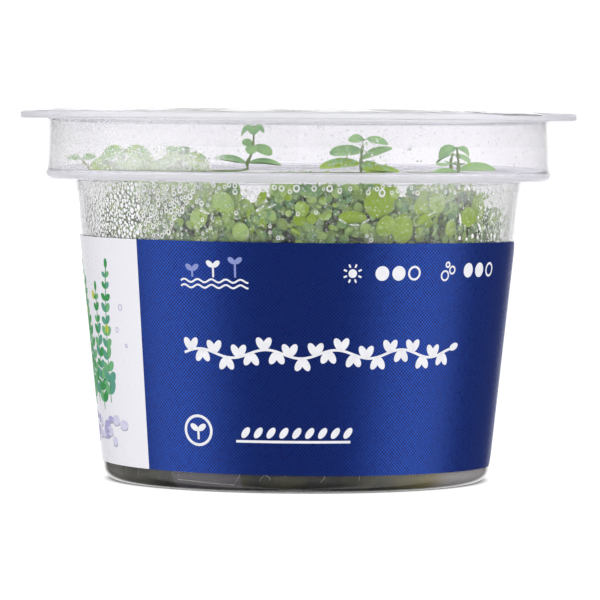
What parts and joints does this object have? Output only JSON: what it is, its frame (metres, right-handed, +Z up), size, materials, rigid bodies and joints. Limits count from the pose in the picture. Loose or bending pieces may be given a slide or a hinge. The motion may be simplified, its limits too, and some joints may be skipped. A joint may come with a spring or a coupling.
{
  "type": "shade mudflower in a tissue-culture cup",
  "caption": "Small-leaved shade mudflower growing as a dense green mat on gel in a sealed clear tapered cup with a wide collar, peel film and blue and white label.",
  "frame": {"origin": "centre of the cup's foot, on the surface that it stands on", "axes": "+Z up the cup's axis, -Y towards the front of the label, +X to the right of the front"},
  "size_m": [0.095, 0.095, 0.0633],
  "materials": {
    "clear_plastic": "clear moulded polypropylene, slightly hazy",
    "lid_film": "thin clear sealing film, glossy",
    "printed_label": "printed film label, satin",
    "gel": "translucent set nutrient gel",
    "foliage": "dense mat of small living leaves and stems",
    "leaf": "soft living leaf, satin",
    "stem": "smooth juicy stem",
    "water": "clear water drops"
  },
  "bodies": {
    "root": {"back_left_sprig_leaf_1": "leaf", "back_left_sprig_leaf_2": "leaf", "back_left_sprig_leaf_3": "leaf", "back_left_sprig_leaf_4": "leaf", "back_left_sprig_stem": "stem", "back_right_sprig_leaf_1": "leaf", "back_right_sprig_leaf_2": "leaf", "back_right_sprig_leaf_3": "leaf", "back_right_sprig_leaf_4": "leaf", "back_right_sprig_stem": "stem", "bushy_sprig_leaf_1": "leaf", "bushy_sprig_leaf_2": "leaf", "bushy_sprig_leaf_3": "leaf", "bushy_sprig_leaf_4": "leaf", "bushy_sprig_leaf_5": "leaf", "bushy_sprig_leaf_6": "leaf", "bushy_sprig_stem": "stem", "cup": "clear_plastic", "edge_sprig_leaf_1": "leaf", "edge_sprig_leaf_2": "leaf", "edge_sprig_stem": "stem", "gel": "gel", "label": "printed_label", "left_sprig_leaf_1": "leaf", "left_sprig_leaf_2": "leaf", "left_sprig_leaf_3": "leaf", "left_sprig_leaf_4": "leaf", "left_sprig_leaf_5": "leaf", "left_sprig_leaf_6": "leaf", "left_sprig_stem": "stem", "lid_film": "lid_film", "mid_left_sprig_leaf_1": "leaf", "mid_left_sprig_leaf_2": "leaf", "mid_left_sprig_leaf_3": "leaf", "mid_left_sprig_leaf_4": "leaf", "mid_left_sprig_stem": "stem", "plantlet_1": "foliage", "plantlet_2": "foliage", "plantlet_3": "foliage", "plantlet_4": "foliage", "plantlet_5": "foliage", "plantlet_6": "foliage", "plantlet_core": "foliage", "right_sprig_leaf_1": "leaf", "right_sprig_leaf_2": "leaf", "right_sprig_leaf_3": "leaf", "right_sprig_leaf_4": "leaf", "right_sprig_stem": "stem", "tall_sprig_leaf_1": "leaf", "tall_sprig_leaf_2": "leaf", "tall_sprig_leaf_3": "leaf", "tall_sprig_leaf_4": "leaf", "tall_sprig_leaf_5": "leaf", "tall_sprig_leaf_6": "leaf", "tall_sprig_stem": "stem"}
  },
  "joints": []
}
